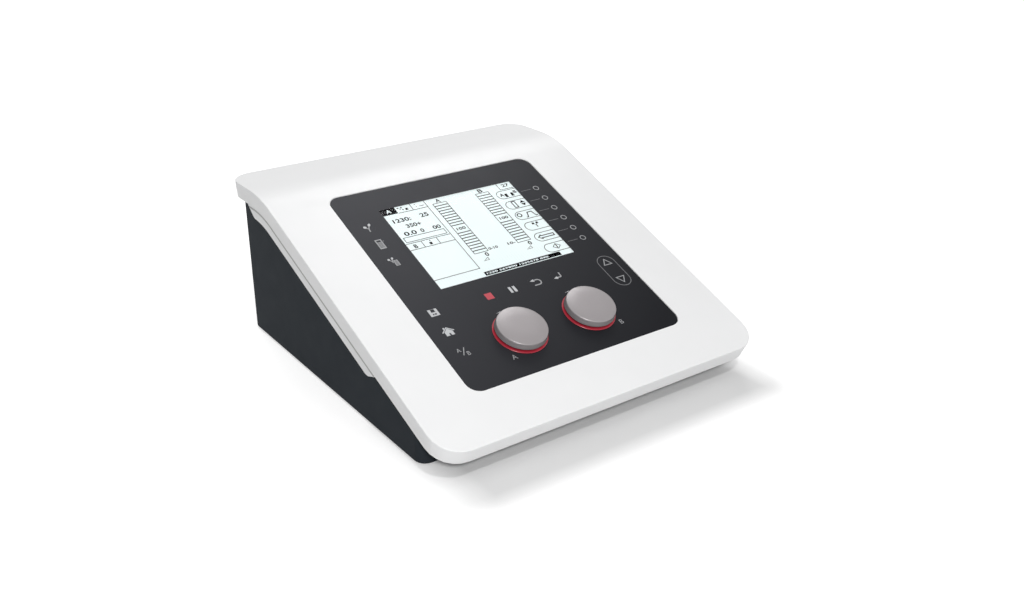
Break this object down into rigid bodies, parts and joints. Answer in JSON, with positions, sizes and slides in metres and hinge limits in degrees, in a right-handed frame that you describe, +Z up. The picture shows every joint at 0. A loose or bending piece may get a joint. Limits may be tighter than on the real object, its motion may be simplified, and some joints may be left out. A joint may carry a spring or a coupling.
{
  "type": "physiotherapy console",
  "caption": "Desk-top two-channel therapy console: white sloping cover on a dark wedge base, with a display, flush keys, two turning dials and rear connections.",
  "frame": {"origin": "centre of the outer box, on the surface the feet stand on", "axes": "+X to the right for someone facing the panel, +Y from the low front edge to the rear, +Z up"},
  "size_m": [0.2636, 0.291, 0.1182],
  "materials": {
    "white_moulding": "satin",
    "anthracite_moulding": "fine matt",
    "charcoal_panel": "satin",
    "clear_pane": "clear",
    "display_face": "lit",
    "satin_silver": "satin",
    "red_ring": "satin",
    "zinc": "plated",
    "circuit_board": "solder mask",
    "core": "varnished",
    "black_moulding": "matt",
    "rear_plate": "matt",
    "brass": "bright",
    "foot_rubber": "matt"
  },
  "bodies": {
    "console": {"base_housing": "anthracite_moulding", "control_panel": "charcoal_panel", "cover_screw_front_left": "zinc", "cover_screw_front_right": "zinc", "cover_screw_rear_left": "zinc", "cover_screw_rear_right": "zinc", "display_module": "display_face", "display_window": "clear_pane", "encoder_a": "zinc", "encoder_b": "zinc", "encoder_nut_a": "zinc", "encoder_nut_b": "zinc", "foot_front_left": "foot_rubber", "foot_front_right": "foot_rubber", "foot_rear_left": "foot_rubber", "foot_rear_right": "foot_rubber", "head_socket": "black_moulding", "inlet_pin_earth": "brass", "inlet_pin_live": "brass", "inlet_pin_neutral": "brass", "keypad_board": "circuit_board", "knob_ring_a": "red_ring", "knob_ring_b": "red_ring", "main_board": "circuit_board", "mains_inlet": "black_moulding", "output_board": "circuit_board", "output_transformer_a": "core", "output_transformer_b": "core", "power_supply_board": "circuit_board", "rear_panel": "rear_plate", "socket_a": "black_moulding", "socket_b": "black_moulding", "supply_heat_sink": "zinc", "supply_transformer": "core", "switch_frame": "black_moulding", "top_cover": "white_moulding"},
    "dial_a": {"knob_a": "satin_silver", "encoder_shaft_a": "zinc"},
    "dial_b": {"knob_b": "satin_silver", "encoder_shaft_b": "zinc"},
    "rocker": {"switch_rocker": "black_moulding"},
    "key_lead": {"key_lead": "charcoal_panel"},
    "key_card": {"key_card": "charcoal_panel"},
    "key_lead_card": {"key_lead_card": "charcoal_panel"},
    "key_save": {"key_save": "charcoal_panel"},
    "key_home": {"key_home": "charcoal_panel"},
    "key_channel": {"key_channel": "charcoal_panel"},
    "key_stop": {"key_stop": "charcoal_panel"},
    "key_pause": {"key_pause": "charcoal_panel"},
    "key_back": {"key_back": "charcoal_panel"},
    "key_enter": {"key_enter": "charcoal_panel"},
    "key_soft_1": {"key_soft_1": "charcoal_panel"},
    "key_soft_2": {"key_soft_2": "charcoal_panel"},
    "key_soft_3": {"key_soft_3": "charcoal_panel"},
    "key_soft_4": {"key_soft_4": "charcoal_panel"},
    "key_soft_5": {"key_soft_5": "charcoal_panel"},
    "key_soft_6": {"key_soft_6": "charcoal_panel"},
    "key_up": {"key_up": "charcoal_panel"},
    "key_down": {"key_down": "charcoal_panel"}
  },
  "joints": [
    {"name": "dial_a_turn", "type": "hinge", "parent": "console", "child": "dial_a", "pos_m": [-0.02925, -0.08028, 0.05105], "axis": [0, -0.3686, 0.9296], "continuous": true},
    {"name": "dial_b_turn", "type": "hinge", "parent": "console", "child": "dial_b", "pos_m": [0.02925, -0.08028, 0.05105], "axis": [0, -0.3686, 0.9296], "continuous": true},
    {"name": "key_lead_press", "type": "slide", "parent": "console", "child": "key_lead", "axis": [0, 0.3686, -0.9296], "range_m": [0, 0.0004], "stiffness_N_per_m": 1500},
    {"name": "key_card_press", "type": "slide", "parent": "console", "child": "key_card", "axis": [0, 0.3686, -0.9296], "range_m": [0, 0.0004], "stiffness_N_per_m": 1500},
    {"name": "key_lead_card_press", "type": "slide", "parent": "console", "child": "key_lead_card", "axis": [0, 0.3686, -0.9296], "range_m": [0, 0.0004], "stiffness_N_per_m": 1500},
    {"name": "key_save_press", "type": "slide", "parent": "console", "child": "key_save", "axis": [0, 0.3686, -0.9296], "range_m": [0, 0.0004], "stiffness_N_per_m": 1500},
    {"name": "key_home_press", "type": "slide", "parent": "console", "child": "key_home", "axis": [0, 0.3686, -0.9296], "range_m": [0, 0.0004], "stiffness_N_per_m": 1500},
    {"name": "key_channel_press", "type": "slide", "parent": "console", "child": "key_channel", "axis": [0, 0.3686, -0.9296], "range_m": [0, 0.0004], "stiffness_N_per_m": 1500},
    {"name": "key_stop_press", "type": "slide", "parent": "console", "child": "key_stop", "axis": [0, 0.3686, -0.9296], "range_m": [0, 0.0004], "stiffness_N_per_m": 1500},
    {"name": "key_pause_press", "type": "slide", "parent": "console", "child": "key_pause", "axis": [0, 0.3686, -0.9296], "range_m": [0, 0.0004], "stiffness_N_per_m": 1500},
    {"name": "key_back_press", "type": "slide", "parent": "console", "child": "key_back", "axis": [0, 0.3686, -0.9296], "range_m": [0, 0.0004], "stiffness_N_per_m": 1500},
    {"name": "key_enter_press", "type": "slide", "parent": "console", "child": "key_enter", "axis": [0, 0.3686, -0.9296], "range_m": [0, 0.0004], "stiffness_N_per_m": 1500},
    {"name": "key_soft_1_press", "type": "slide", "parent": "console", "child": "key_soft_1", "axis": [0, 0.3686, -0.9296], "range_m": [0, 0.0004], "stiffness_N_per_m": 1500},
    {"name": "key_soft_2_press", "type": "slide", "parent": "console", "child": "key_soft_2", "axis": [0, 0.3686, -0.9296], "range_m": [0, 0.0004], "stiffness_N_per_m": 1500},
    {"name": "key_soft_3_press", "type": "slide", "parent": "console", "child": "key_soft_3", "axis": [0, 0.3686, -0.9296], "range_m": [0, 0.0004], "stiffness_N_per_m": 1500},
    {"name": "key_soft_4_press", "type": "slide", "parent": "console", "child": "key_soft_4", "axis": [0, 0.3686, -0.9296], "range_m": [0, 0.0004], "stiffness_N_per_m": 1500},
    {"name": "key_soft_5_press", "type": "slide", "parent": "console", "child": "key_soft_5", "axis": [0, 0.3686, -0.9296], "range_m": [0, 0.0004], "stiffness_N_per_m": 1500},
    {"name": "key_soft_6_press", "type": "slide", "parent": "console", "child": "key_soft_6", "axis": [0, 0.3686, -0.9296], "range_m": [0, 0.0004], "stiffness_N_per_m": 1500},
    {"name": "key_up_press", "type": "slide", "parent": "console", "child": "key_up", "axis": [0, 0.3686, -0.9296], "range_m": [0, 0.0004], "stiffness_N_per_m": 1500},
    {"name": "key_down_press", "type": "slide", "parent": "console", "child": "key_down", "axis": [0, 0.3686, -0.9296], "range_m": [0, 0.0004], "stiffness_N_per_m": 1500},
    {"name": "rocker_tip", "type": "hinge", "parent": "console", "child": "rocker", "pos_m": [0.044, 0.12901, 0.0415], "axis": [1, 0, 0], "range_deg": [0, 20]}
  ]
}
